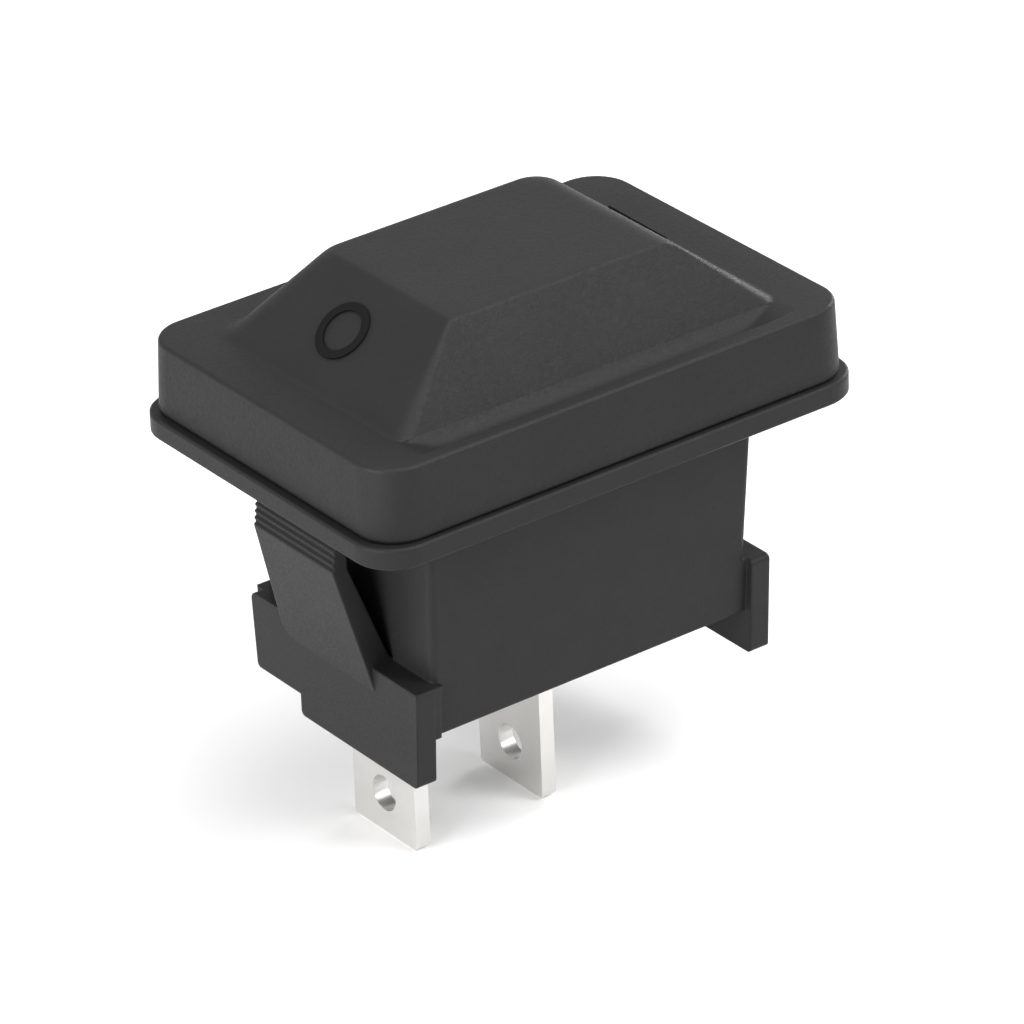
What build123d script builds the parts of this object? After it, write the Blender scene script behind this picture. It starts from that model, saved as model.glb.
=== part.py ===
from build123d import *
import os
from math import cos, hypot, radians, sin, tan

os.makedirs("parts", exist_ok=True)

# A snap-in rocker switch under a rubber hood, with two blade tabs.
# The origin is at the centre of the flange's underside, which is the panel's face.
# +Z points out of the panel and +X to the end that is marked I. Sizes are in millimetres.

# Flange, which bears on the panel and stands out a little all round the hood
flange_end_ledge = 0.4
flange_side_ledge = 0.25
flange_thickness = 1.05
flange_corner = 2.1
flange_edge_chamfer = 0.1

# Body below the flange, tapered on all sides
body_top_length = 18.5
body_top_width = 13.9
body_foot_length = 17.8
body_foot_width = 12.4
body_depth = 11.2
body_corner = 0.33
body_root_round = 0.55
floor_thickness = 1.6
cavity_length = 15.6
cavity_width = 10.6
cavity_corner = 0.3

# End plates that carry the snap wings
plate_reach = 10.15
plate_thickness = 1.05
plate_front = 6.75
plate_back = 6.15
plate_lean = 0.25
plate_top = 8.4
plate_skirt = 2.2
plate_root = 1.45
plate_step = 1.1
plate_step_start = 2.5
plate_corner = 0.4
plate_edge_round = 0.25

# Snap wings
wing_root_drop = 9.6
wing_tip_drop = 3.15
wing_tip_reach = 11.8
wing_root_width = 7.0
wing_tip_width = 6.1
wing_tip_thickness = 0.8
wing_root_thickness = 1.35
wing_top_gap = 0.5
wing_back_corner = 0.8
wing_root_round = 0.8
tooth_pitch = 0.33
tooth_depth = 0.09
tooth_lean = 0.04
tooth_land = 0.12

# Rubber hood
hood_length = 26.6
hood_width = 18.9
hood_corner = 2.0
hood_rim_height = 4.7
hood_draft = 1.5
hood_side_wall = 1.1
hood_top_wall = 0.8
hood_rim_round = 0.22
hood_lip_chamfer = 0.2
bead_depth = 0.3
bead_height = 0.7
bead_rise = 0.7

# Raised form on the hood, with a gutter along each of its long sides
form_length = 21.24
form_width = 14.18
crest_length = 12.26
crest_width = 9.72
crest_height = 8.4
crest_round_off = 0.5
crest_round_on = 1.6
form_front_round = 0.3
form_back_round = 0.45
valley_reach = 0.4
valley_round = 1.0
gutter_depth = 0.5
gutter_length = 20.8
gutter_width = 17.0
gutter_corner = 1.2

# Marks raised on the hood's two end slopes
mark_height = 0.22
mark_up_slope = 3.0
ring_outer = 1.45
ring_inner = 1.03
bar_length = 4.1
bar_width = 0.45

# Collar inside the hood
collar_wall = 1.2
collar_top_gap = 0.1

# Rocker and its pivot
tilt = 7.5
pivot_drop = 0.5
pin_radius = 1.3
pin_reach = 0.9
rocker_wall = 1.2
rocker_gap = 0.25
shoulder_rise = 0.28
cheek_length = 4.4
cheek_thickness = 1.1
cheek_gap = 0.2
pin_end_gap = 0.1
stem_width = 4.4
stem_corner = 0.6
stem_drop = 4.0

# Plunger and spring
plunger_radius = 1.2
plunger_length = 4.6
plunger_bore_top = 3.5
seat_radius = 0.6
seat_height = 0.8
spring_radius = 0.92
spring_wire = 0.3
spring_turns = 5.5
tip_gap = 0.1

# Contact lever and contacts
lever_x = 0.2
lever_ratio = 1.2
lever_thickness = 0.8
lever_width = 4.4
lever_long_arm = 6.9
lever_short_arm = 4.4
lever_waist = 1.6
arm_width = 3.4
arm_end_round = 1.2
knife_radius = 0.4
contact_reach = 5.6
contact_radius = 1.3
contact_height = 0.7
contact_shank = 0.7
contact_crown = 0.25
contact_bevel = 0.2
fixed_height = 0.5
closed_gap = 0.04

# Terminals
tab_width = 4.8
tab_thickness = 0.8
tab_end = 19.7
tab_hole = 0.9
tab_hole_rise = 2.2
tab_tip_chamfer = 0.3
tab_bevel = 0.15
tab_pitch = 7.3
head_width = 6.0
horn_width = 0.7
horn_height = 1.6
shelf_length = 3.9

# Fits
slide_fit = 0.05
pivot_fit = 0.05
seat_fit = 0.02
stop_fit = 0.08

# Values worked out from the sizes above
flange_length = hood_length + 2 * flange_end_ledge
flange_width = hood_width + 2 * flange_side_ledge
floor_z = floor_thickness - body_depth
gutter_z = hood_rim_height - gutter_depth
ceiling_z = hood_rim_height - hood_top_wall
collar_top = ceiling_z - collar_top_gap
collar_length = hood_length - 2 * hood_side_wall - 2 * slide_fit
collar_width = hood_width - 2 * hood_side_wall - 2 * slide_fit
collar_corner = hood_corner - hood_side_wall - slide_fit
groove_depth = bead_depth + slide_fit
bead_z = flange_thickness + bead_rise
line_x = lever_x - tab_pitch
lever_tilt = tilt * lever_ratio
fixed_top = floor_z + tab_thickness + fixed_height
knife_z = fixed_top + closed_gap + contact_height - slide_fit
form_rise = crest_height - hood_rim_height


def form_size(base, crest, inset, z):
    """Size across the raised form at height z, with its slopes moved inward by inset."""
    run = (base - crest) / 2
    slope = hypot(run, form_rise)
    return crest + 2 * (run * (crest_height - z) - inset * slope) / form_rise


def form_outline(inset, z):
    """Sizes along X and Y of the raised form at height z, moved inward by inset."""
    along = form_size(form_length, crest_length, inset, z)
    across = form_size(form_width, crest_width, inset, z)
    return along, across


def tapered_block(foot, foot_z, top, top_z, round_off=0.0, round_on=0.0):
    """Block with four flat sloping sides between two outlines, its top edges at -X and +X rounded."""
    reach = foot[0] + foot[1] + top[0] + top[1]
    with BuildPart() as block:
        with BuildSketch(Plane.XZ) as side:
            with BuildLine():
                Polyline((-foot[0] / 2, foot_z), (foot[0] / 2, foot_z),
                         (top[0] / 2, top_z), (-top[0] / 2, top_z), close=True)
            make_face()
            if round_off > 0:
                fillet(side.vertices().sort_by_distance(Vector(-top[0] / 2, top_z))[0], round_off)
            if round_on > 0:
                fillet(side.vertices().sort_by_distance(Vector(top[0] / 2, top_z))[0], round_on)
        extrude(amount=reach, both=True)
        with BuildSketch(Plane.YZ):
            with BuildLine():
                Polyline((-foot[1] / 2, foot_z), (foot[1] / 2, foot_z),
                         (top[1] / 2, top_z), (-top[1] / 2, top_z), close=True)
            make_face()
        extrude(amount=reach, both=True, mode=Mode.INTERSECT)
    return block.part


# Snap wing: an arm that leans out from the end plate, with a toothed catch above its tip
wing_lean = (wing_tip_reach - plate_reach) / (wing_root_drop - wing_tip_drop)
wing_seat = plate_reach + wing_lean * (wing_root_drop - plate_top) - wing_root_thickness
wing_foot = wing_seat - 2 * wing_root_round
wing_top_x = wing_tip_reach - wing_tip_thickness
teeth = []
for tooth in range(int((wing_tip_drop - wing_top_gap) / tooth_pitch)):
    tooth_x = wing_tip_reach - tooth * tooth_lean
    tooth_z = tooth * tooth_pitch - wing_tip_drop
    teeth.append((tooth_x, tooth_z))
    teeth.append((tooth_x, tooth_z + tooth_land))
    teeth.append((tooth_x - tooth_depth, tooth_z + tooth_pitch / 2))
    teeth.append((tooth_x - tooth_depth, tooth_z + tooth_pitch - tooth_land / 2))

with BuildPart() as wing:
    with BuildSketch(Plane.XZ) as arm:
        with BuildLine():
            Polyline((wing_foot, -wing_root_drop), (plate_reach, -wing_root_drop), *teeth,
                     (wing_top_x, teeth[-1][1]), (wing_top_x, -wing_tip_drop),
                     (wing_seat, -plate_top), (wing_foot, -plate_top), close=True)
        make_face()
        inner_root = Vector(wing_seat, -plate_top)
        fillet(arm.vertices().sort_by_distance(inner_root)[0], wing_root_round)
    extrude(amount=wing_root_width, both=True)
    with BuildSketch(Plane.YZ) as outline:
        with BuildLine():
            Polyline((-wing_root_width / 2, -wing_root_drop), (-wing_tip_width / 2, -wing_tip_drop),
                     (-wing_tip_width / 2, 0), (wing_tip_width / 2, 0), (wing_tip_width / 2, -wing_tip_drop),
                     (wing_root_width / 2, -wing_root_drop), close=True)
        make_face()
        back_root = Vector(wing_root_width / 2, -wing_root_drop)
        fillet(outline.vertices().sort_by_distance(back_root)[0], wing_back_corner)
    extrude(amount=2 * plate_reach, mode=Mode.INTERSECT)

# End plate: it follows the body's draft, hangs below the body and carries a wing
plate_foot = -body_depth - plate_skirt
plate_foot_front = plate_front - plate_lean
plate_foot_back = plate_back - plate_lean
with BuildPart() as end_plate:
    with BuildSketch(Plane.YZ.offset(plate_reach - plate_thickness)) as skirt:
        with BuildLine():
            Polyline((-plate_front, -plate_top), (plate_back, -plate_top),
                     (plate_foot_back, plate_foot + plate_step), (plate_step_start, plate_foot + plate_step),
                     (plate_step_start, plate_foot), (-plate_foot_front, plate_foot), close=True)
        make_face()
        back_corner = Vector(plate_back, -plate_top)
        fillet(skirt.vertices().sort_by_distance(back_corner)[0], plate_corner)
        inner_step = Vector(plate_step_start, plate_foot + plate_step)
        fillet(skirt.vertices().sort_by_distance(inner_step)[1:], plate_edge_round)
    extrude(amount=plate_thickness)
    add(wing.part)

# Plate root: it fills the space between the body's end and the plate, flush with the body's sides
with BuildPart() as plate_root_block:
    add(tapered_block((2 * plate_reach, body_foot_width), -body_depth, (2 * plate_reach, body_top_width), 0))
    with BuildSketch(Plane.XZ):
        with Locations((0, -(plate_top + body_depth) / 2)):
            Rectangle(2 * plate_reach - plate_thickness, body_depth - plate_top)
    extrude(amount=body_top_width, both=True, mode=Mode.INTERSECT)

# Thick root of the end plate at the O end, which stands proud of the body's front
with BuildPart() as proud_root:
    with BuildSketch(Plane.YZ.offset(-plate_reach)) as root:
        with BuildLine():
            Polyline((-plate_front, -plate_top), (0, -plate_top), (0, -body_depth),
                     (-plate_foot_front, -body_depth), close=True)
        make_face()
    extrude(amount=plate_root)

# Housing: one moulding with flange, collar, tapered body, end plates and snap wings
with BuildPart() as housing:
    add(tapered_block((body_foot_length, body_foot_width), -body_depth, (body_top_length, body_top_width), 0))
    fillet(housing.edges().group_by(Axis.Z)[1], body_corner)
    with BuildSketch(Plane.XY):
        RectangleRounded(flange_length, flange_width, flange_corner)
    extrude(amount=flange_thickness)
    chamfer(housing.faces().sort_by(Axis.Z)[-1].edges(), flange_edge_chamfer)
    panel_face = housing.faces().filter_by(Plane.XY).sort_by(Axis.Z)[1]
    fillet(panel_face.inner_wires().edges(), body_root_round)
    panel_face = housing.faces().filter_by(Plane.XY).sort_by(Axis.Z)[1]
    chamfer(panel_face.outer_wire().edges(), flange_edge_chamfer)
    add(end_plate.part)
    mirror(end_plate.part, about=Plane.YZ)
    add(plate_root_block.part)
    add(proud_root.part)
    # Collar, with the groove that the hood's bead snaps into
    with BuildSketch(Plane.XY.offset(flange_thickness)):
        RectangleRounded(collar_length, collar_width, collar_corner)
    extrude(amount=collar_top - flange_thickness)
    with BuildSketch(Plane.XY.offset(bead_z - slide_fit)):
        RectangleRounded(hood_length, hood_width, hood_corner)
        RectangleRounded(collar_length - 2 * groove_depth, collar_width - 2 * groove_depth,
                         collar_corner - groove_depth, mode=Mode.SUBTRACT)
    extrude(amount=bead_height + 2 * slide_fit, mode=Mode.SUBTRACT)
    with BuildSketch(Plane.XY.offset(flange_thickness)):
        RectangleRounded(collar_length - 2 * collar_wall, collar_width - 2 * collar_wall, cavity_corner)
    extrude(amount=collar_top, mode=Mode.SUBTRACT)
    # Contact chamber
    with BuildSketch(Plane.XY.offset(floor_z)):
        RectangleRounded(cavity_length, cavity_width, cavity_corner)
    extrude(amount=flange_thickness - floor_z, mode=Mode.SUBTRACT)
    # Pivot bores in the two long walls
    with BuildSketch(Plane.XZ):
        with Locations((0, -pivot_drop)):
            Circle(pin_radius + pivot_fit)
    extrude(amount=cavity_width / 2 + pin_reach, both=True, mode=Mode.SUBTRACT)
    # Slots for the two blades
    with BuildSketch(Plane.XY.offset(-body_depth)):
        with Locations((line_x, 0), (lever_x, 0)):
            Rectangle(tab_thickness + 2 * slide_fit, tab_width + 2 * slide_fit)
    extrude(amount=floor_thickness, mode=Mode.SUBTRACT)

# Raised form of the hood: the outlines of its two long slopes are rounded all along
with BuildPart() as raised_form:
    add(tapered_block(form_outline(0, gutter_z), gutter_z, (crest_length, crest_width), crest_height,
                      crest_round_off, crest_round_on))
    front_slope = raised_form.faces().sort_by(Axis.Y)[0]
    fillet(front_slope.edges().sort_by(Axis.Z)[1:], form_front_round)
    back_slope = raised_form.faces().sort_by(Axis.Y)[-1]
    fillet(back_slope.edges().sort_by(Axis.Z)[1:], form_back_round)

# Rubber hood: drafted skirt, flat rim with two gutters, and raised form, with one wall thickness
form_slope = hypot((form_length - crest_length) / 2, form_rise)
slope_normal = Vector(form_rise, 0, (form_length - crest_length) / 2) / form_slope
slope_up = Vector(-(form_length - crest_length) / 2, 0, form_rise) / form_slope
slope_foot = Vector(form_length / 2, 0, hood_rim_height)
valley_top = slope_foot + slope_up * valley_reach
mark_at = slope_foot + slope_up * mark_up_slope
bar_plane = Plane(mark_at, x_dir=slope_up, z_dir=slope_normal)
ring_plane = Plane((-mark_at.X, 0, mark_at.Z), x_dir=(0, 1, 0), z_dir=(-slope_normal.X, 0, slope_normal.Z))

with BuildPart() as valley:
    with BuildSketch(Plane.XZ) as cove:
        with BuildLine():
            Polyline((valley_top.X, gutter_z), (form_length / 2 + valley_reach, gutter_z),
                     (form_length / 2 + valley_reach, hood_rim_height), (form_length / 2, hood_rim_height),
                     (valley_top.X, valley_top.Z), close=True)
        make_face()
        fillet(cove.vertices().sort_by_distance(Vector(form_length / 2, hood_rim_height))[0], valley_round)
    extrude(amount=form_width / 2 - form_back_round, both=True)

with BuildPart() as rubber_hood:
    with BuildSketch(Plane.XY.offset(flange_thickness)):
        RectangleRounded(hood_length, hood_width, hood_corner)
    extrude(amount=hood_rim_height - flange_thickness, taper=hood_draft)
    fillet(rubber_hood.faces().sort_by(Axis.Z)[-1].edges(), hood_rim_round)
    chamfer(rubber_hood.faces().sort_by(Axis.Z)[0].edges(), hood_lip_chamfer)
    with BuildSketch(Plane.XY.offset(gutter_z)):
        RectangleRounded(gutter_length, gutter_width, gutter_corner)
    extrude(amount=gutter_depth, mode=Mode.SUBTRACT)
    add(raised_form.part)
    add(valley.part)
    mirror(valley.part, about=Plane.YZ)
    with BuildSketch(Plane.XY.offset(flange_thickness)):
        RectangleRounded(hood_length - 2 * hood_side_wall, hood_width - 2 * hood_side_wall,
                         hood_corner - hood_side_wall)
    extrude(amount=ceiling_z - flange_thickness, mode=Mode.SUBTRACT)
    hollow_top = crest_height - hood_top_wall
    add(tapered_block(form_outline(hood_top_wall, ceiling_z), ceiling_z,
                      form_outline(hood_top_wall, hollow_top), hollow_top), mode=Mode.SUBTRACT)
    with BuildSketch(Plane.XY.offset(bead_z)):
        RectangleRounded(hood_length - hood_side_wall, hood_width - hood_side_wall,
                         hood_corner - hood_side_wall / 2)
        RectangleRounded(collar_length + 2 * slide_fit - 2 * bead_depth,
                         collar_width + 2 * slide_fit - 2 * bead_depth,
                         collar_corner + slide_fit - bead_depth, mode=Mode.SUBTRACT)
    extrude(amount=bead_height)
    with BuildSketch(ring_plane):
        Circle(ring_outer)
        Circle(ring_inner, mode=Mode.SUBTRACT)
    extrude(amount=mark_height)
    with BuildSketch(bar_plane):
        SlotOverall(bar_length, bar_width)
    extrude(amount=mark_height)

# Rocker: a hollow cap under the hood, with two cheeks, their pivot pins and a stem
rocker_inset = hood_top_wall + rocker_gap
rocker_top = crest_height - rocker_inset
shoulder_z = ceiling_z + shoulder_rise
rocker_length = form_size(form_length, crest_length, rocker_inset, shoulder_z)
stop_reach = flange_thickness + pivot_drop + stop_fit
stop_middle_z = stop_reach / cos(radians(tilt)) - pivot_drop
stop_end_z = stop_middle_z + rocker_length * tan(radians(tilt))
cheek_y = cavity_width / 2 - cheek_gap

with BuildPart() as rocker:
    add(tapered_block(form_outline(rocker_inset, shoulder_z), shoulder_z,
                      form_outline(rocker_inset, rocker_top), rocker_top))
    with BuildSketch(Plane.XY.offset(shoulder_z)):
        Rectangle(*form_outline(rocker_inset, shoulder_z))
    extrude(amount=flange_thickness - shoulder_z)
    # Hollow from below
    pocket_inset = rocker_inset + rocker_wall
    pocket_top = rocker_top - rocker_wall
    add(tapered_block(form_outline(pocket_inset, shoulder_z), shoulder_z,
                      form_outline(pocket_inset, pocket_top), pocket_top), mode=Mode.SUBTRACT)
    with BuildSketch(Plane.XY.offset(shoulder_z)):
        Rectangle(*form_outline(pocket_inset, shoulder_z))
    extrude(amount=flange_thickness - shoulder_z, mode=Mode.SUBTRACT)
    # Underside in two planes that lie on the flange at the ends of the tilt
    with BuildSketch(Plane.XZ):
        with BuildLine():
            Polyline((0, stop_middle_z), (rocker_length, stop_end_z), (rocker_length, -flange_thickness),
                     (-rocker_length, -flange_thickness), (-rocker_length, stop_end_z), close=True)
        make_face()
    extrude(amount=rocker_length, both=True, mode=Mode.SUBTRACT)
    # Cheeks and pivot pins
    with BuildSketch(Plane.XZ):
        with Locations((0, -pivot_drop)):
            Circle(cheek_length / 2)
        with Locations((0, (shoulder_z - pivot_drop) / 2)):
            Rectangle(cheek_length, shoulder_z + pivot_drop)
    extrude(amount=cheek_y, both=True)
    with BuildSketch(Plane.XZ):
        with Locations((0, (shoulder_z - cheek_length) / 2 - pivot_drop)):
            Rectangle(2 * cheek_length, shoulder_z + cheek_length)
    extrude(amount=cheek_y - cheek_thickness, both=True, mode=Mode.SUBTRACT)
    with BuildSketch(Plane.XZ):
        with Locations((0, -pivot_drop)):
            Circle(pin_radius)
    extrude(amount=cavity_width / 2 + pin_reach - pin_end_gap, both=True)
    with BuildSketch(Plane.XZ):
        with Locations((0, -pivot_drop)):
            Rectangle(3 * pin_radius, 3 * pin_radius)
    extrude(amount=cheek_y - cheek_thickness, both=True, mode=Mode.SUBTRACT)
    # Stem with the plunger's bore
    with BuildSketch(Plane.XY.offset(-stem_drop)):
        RectangleRounded(stem_width, stem_width, stem_corner)
    extrude(amount=rocker_top - rocker_wall / 2 + stem_drop)
    with BuildSketch(Plane.XY.offset(-stem_drop)):
        Circle(plunger_radius + slide_fit)
    extrude(amount=plunger_bore_top + stem_drop, mode=Mode.SUBTRACT)

# Plunger: a pin with a ball end that bears on the lever, and a seat for the spring
lever_top = slide_fit + lever_thickness
ball_z = knife_z + (lever_top + plunger_radius) / cos(radians(lever_tilt)) + tip_gap
plunger_top = ball_z + plunger_length - plunger_radius

with BuildPart() as plunger:
    with BuildSketch(Plane.XY.offset(ball_z)):
        Circle(plunger_radius)
    extrude(amount=plunger_top - ball_z)
    with Locations((0, 0, ball_z)):
        Sphere(plunger_radius)
    with BuildSketch(Plane.XY.offset(plunger_top)):
        Circle(seat_radius)
    extrude(amount=seat_height)

# Plunger spring, its wire given flats to keep its facets few
coil_foot = plunger_top + seat_fit + spring_wire / 2
coil_height = plunger_bore_top - seat_fit - spring_wire / 2 - coil_foot
with BuildPart() as plunger_spring:
    with BuildLine() as coil:
        Helix(coil_height / spring_turns, coil_height, spring_radius, center=(0, 0, coil_foot))
    with BuildSketch(Plane(coil.line @ 0, z_dir=coil.line % 0)):
        RegularPolygon(spring_wire / 2, 5)
    sweep(is_frenet=True)


def arm_point(side, along, up):
    """Point on a lever arm, from the knife edge along the arm and square up from it."""
    turn = radians(lever_tilt)
    return side * (along * cos(turn) - up * sin(turn)), along * sin(turn) + up * cos(turn)


# Contact lever: a shallow V of strip that rocks on the knife edge in a coined groove
lever_plane = Plane((lever_x, 0, knife_z), x_dir=(1, 0, 0), z_dir=(0, -1, 0))
seat_x, seat_z = arm_point(-1, contact_reach, slide_fit)
contact_normal = (sin(radians(lever_tilt)), 0, cos(radians(lever_tilt)))
contact_plane = Plane((lever_x + seat_x, 0, knife_z + seat_z), x_dir=(0, 1, 0), z_dir=contact_normal)

with BuildPart() as contact_lever:
    with BuildSketch(lever_plane):
        with BuildLine():
            Polyline(arm_point(-1, lever_long_arm, slide_fit), (0, slide_fit / cos(radians(lever_tilt))),
                     arm_point(1, lever_short_arm, slide_fit), arm_point(1, lever_short_arm, lever_top),
                     (0, lever_top / cos(radians(lever_tilt))), arm_point(-1, lever_long_arm, lever_top),
                     close=True)
        make_face()
        Circle(knife_radius + pivot_fit, mode=Mode.SUBTRACT)
    extrude(amount=lever_width / 2, both=True)
    # Arms narrower than the middle, with rounded ends
    with BuildSketch(Plane.XY.offset(knife_z)):
        with Locations((lever_x, 0)):
            Rectangle(2 * lever_waist, lever_width)
        with Locations((lever_x + (lever_short_arm - lever_long_arm) / 2, 0)):
            RectangleRounded(lever_long_arm + lever_short_arm, arm_width, arm_end_round)
    extrude(amount=lever_long_arm, mode=Mode.INTERSECT)
    with BuildSketch(contact_plane):
        Circle(contact_shank + seat_fit)
    extrude(amount=lever_thickness, mode=Mode.SUBTRACT)

# Moving contact: a rivet in the lever's long arm, with its head below
with BuildPart() as moving_contact:
    with BuildSketch(contact_plane):
        Circle(contact_radius)
    extrude(amount=-contact_height)
    chamfer(moving_contact.edges().sort_by(Axis.Z)[0], contact_bevel)
    with BuildSketch(contact_plane):
        Circle(contact_shank)
    extrude(amount=lever_thickness)
    with BuildSketch(contact_plane.offset(lever_thickness)):
        Circle(contact_shank + contact_bevel)
    extrude(amount=contact_crown)

# Fixed contact: a rivet in the shelf of the line terminal
fixed_x = lever_x - contact_reach
shelf_top = floor_z + tab_thickness
with BuildPart() as fixed_contact:
    with BuildSketch(Plane.XY.offset(shelf_top)):
        with Locations((fixed_x, 0)):
            Circle(contact_radius)
    extrude(amount=fixed_height)
    chamfer(fixed_contact.edges().sort_by(Axis.Z)[-1], contact_bevel)
    with BuildSketch(Plane.XY.offset(floor_z)):
        with Locations((fixed_x, 0)):
            Circle(contact_shank)
    extrude(amount=tab_thickness)


# Blade tab with its hole, centred on the YZ plane
with BuildPart() as blade:
    with BuildSketch(Plane.YZ) as blade_face:
        with Locations((0, (floor_z - tab_end) / 2)):
            Rectangle(tab_width, tab_end + floor_z)
        chamfer(blade_face.vertices().group_by(Axis.Y)[0], tab_tip_chamfer)
        with Locations((0, tab_hole_rise - tab_end)):
            Circle(tab_hole, mode=Mode.SUBTRACT)
    extrude(amount=tab_thickness / 2, both=True)
    chamfer(blade.edges().group_by(Axis.Z)[0].filter_by(Axis.Y), tab_bevel)

# Line terminal: a blade bent over into a shelf that lies on the floor
with BuildPart() as line_terminal:
    with Locations((line_x, 0, 0)):
        add(blade.part)
    with BuildSketch(Plane.XZ) as bend:
        with BuildLine():
            Polyline((line_x - tab_thickness / 2, floor_z), (line_x + shelf_length, floor_z),
                     (line_x + shelf_length, shelf_top), (line_x - tab_thickness / 2, shelf_top), close=True)
        make_face()
        bend_corner = Vector(line_x - tab_thickness / 2, shelf_top)
        fillet(bend.vertices().sort_by_distance(bend_corner)[0], tab_thickness - seat_fit)
    extrude(amount=tab_width / 2, both=True)
    with BuildSketch(Plane.XY.offset(floor_z)):
        with Locations((line_x + (tab_thickness + shelf_length) / 2, 0)):
            Rectangle(shelf_length - tab_thickness, head_width)
    extrude(amount=tab_thickness)
    with BuildSketch(Plane.XY.offset(floor_z)):
        with Locations((fixed_x, 0)):
            Circle(contact_shank + seat_fit)
    extrude(amount=tab_thickness, mode=Mode.SUBTRACT)

# Common terminal: a blade with shoulders on the floor, a knife edge and two horns
with BuildPart() as common_terminal:
    with Locations((lever_x, 0, 0)):
        add(blade.part)
    with BuildSketch(Plane.YZ.offset(lever_x)):
        with Locations((0, (floor_z + knife_z + horn_height) / 2)):
            Rectangle(head_width, knife_z + horn_height - floor_z)
        with Locations((0, knife_z + horn_height)):
            Rectangle(head_width - 2 * horn_width, 2 * horn_height, mode=Mode.SUBTRACT)
    extrude(amount=tab_thickness / 2, both=True)
    with BuildSketch(Plane.XZ):
        with Locations((lever_x, knife_z)):
            Circle(knife_radius)
    extrude(amount=head_width / 2 - horn_width, both=True)

pieces = {
    "housing": housing,
    "rubber_hood": rubber_hood,
    "rocker": rocker,
    "plunger": plunger,
    "plunger_spring": plunger_spring,
    "contact_lever": contact_lever,
    "moving_contact": moving_contact,
    "fixed_contact": fixed_contact,
    "line_terminal": line_terminal,
    "common_terminal": common_terminal,
}
for label, piece in pieces.items():
    piece.part.label = label
    export_step(piece.part, f"parts/{label}.step")
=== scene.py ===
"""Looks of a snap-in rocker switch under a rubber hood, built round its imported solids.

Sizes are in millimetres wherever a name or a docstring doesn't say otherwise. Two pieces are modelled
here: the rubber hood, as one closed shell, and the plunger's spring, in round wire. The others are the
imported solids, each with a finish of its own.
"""

import logging
import math
from dataclasses import dataclass
from enum import Enum
from typing import Dict, List, Optional, Sequence, Tuple

import bmesh
import bpy
from mathutils import Matrix, Vector


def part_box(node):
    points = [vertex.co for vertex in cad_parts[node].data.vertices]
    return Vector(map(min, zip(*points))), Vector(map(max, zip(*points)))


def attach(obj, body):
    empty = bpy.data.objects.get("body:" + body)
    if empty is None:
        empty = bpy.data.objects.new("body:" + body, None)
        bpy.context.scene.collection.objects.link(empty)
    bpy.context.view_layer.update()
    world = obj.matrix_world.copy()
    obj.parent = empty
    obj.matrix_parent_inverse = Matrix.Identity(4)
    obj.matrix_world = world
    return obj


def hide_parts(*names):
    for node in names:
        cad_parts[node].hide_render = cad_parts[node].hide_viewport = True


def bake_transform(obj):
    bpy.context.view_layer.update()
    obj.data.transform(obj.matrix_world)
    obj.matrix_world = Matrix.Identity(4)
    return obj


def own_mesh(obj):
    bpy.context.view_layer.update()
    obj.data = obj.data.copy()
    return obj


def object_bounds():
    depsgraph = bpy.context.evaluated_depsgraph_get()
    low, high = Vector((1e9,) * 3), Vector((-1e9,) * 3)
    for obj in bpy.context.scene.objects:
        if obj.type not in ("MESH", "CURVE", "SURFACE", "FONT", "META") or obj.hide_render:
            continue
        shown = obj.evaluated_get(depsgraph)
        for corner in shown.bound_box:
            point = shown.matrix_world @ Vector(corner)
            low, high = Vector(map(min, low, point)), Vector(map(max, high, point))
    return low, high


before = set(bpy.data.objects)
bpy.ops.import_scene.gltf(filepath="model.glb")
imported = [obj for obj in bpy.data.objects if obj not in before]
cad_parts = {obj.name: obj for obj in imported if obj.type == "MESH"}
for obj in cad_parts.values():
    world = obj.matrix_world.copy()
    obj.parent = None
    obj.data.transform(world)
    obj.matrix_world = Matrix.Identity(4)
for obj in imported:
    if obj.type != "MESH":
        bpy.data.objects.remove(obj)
CAD_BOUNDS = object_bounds()
LOG = logging.getLogger("switch")
MM = 0.001

Colour = Tuple[float, float, float]


def to_metres(mesh: bmesh.types.BMesh) -> None:
    """Scale a mesh from millimetres to metres."""
    bmesh.ops.scale(mesh, vec=Vector((MM, MM, MM)), verts=mesh.verts)


def smooth(data: bpy.types.Mesh, sharp_deg: float) -> None:
    """Smooth a mesh's faces, and keep the edges sharp that turn by more than an angle."""
    data.shade_smooth()
    data.set_sharp_from_angle(angle=math.radians(sharp_deg))


def as_object(mesh: bmesh.types.BMesh, name: str, sharp_deg: float = 35.0) -> bpy.types.Object:
    """Turn a mesh in millimetres into a shown object with smooth faces.

    Args:
        mesh: The mesh, which is freed.
        name: The piece's name.
        sharp_deg: Angle between faces over which an edge stays sharp.

    Returns:
        The object, at the origin, in metres.
    """
    bmesh.ops.recalc_face_normals(mesh, faces=mesh.faces)
    to_metres(mesh)
    data = bpy.data.meshes.new(name)
    mesh.to_mesh(data)
    mesh.free()
    smooth(data, sharp_deg)
    piece = bpy.data.objects.new(name, data)
    bpy.context.scene.collection.objects.link(piece)
    return piece


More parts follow.
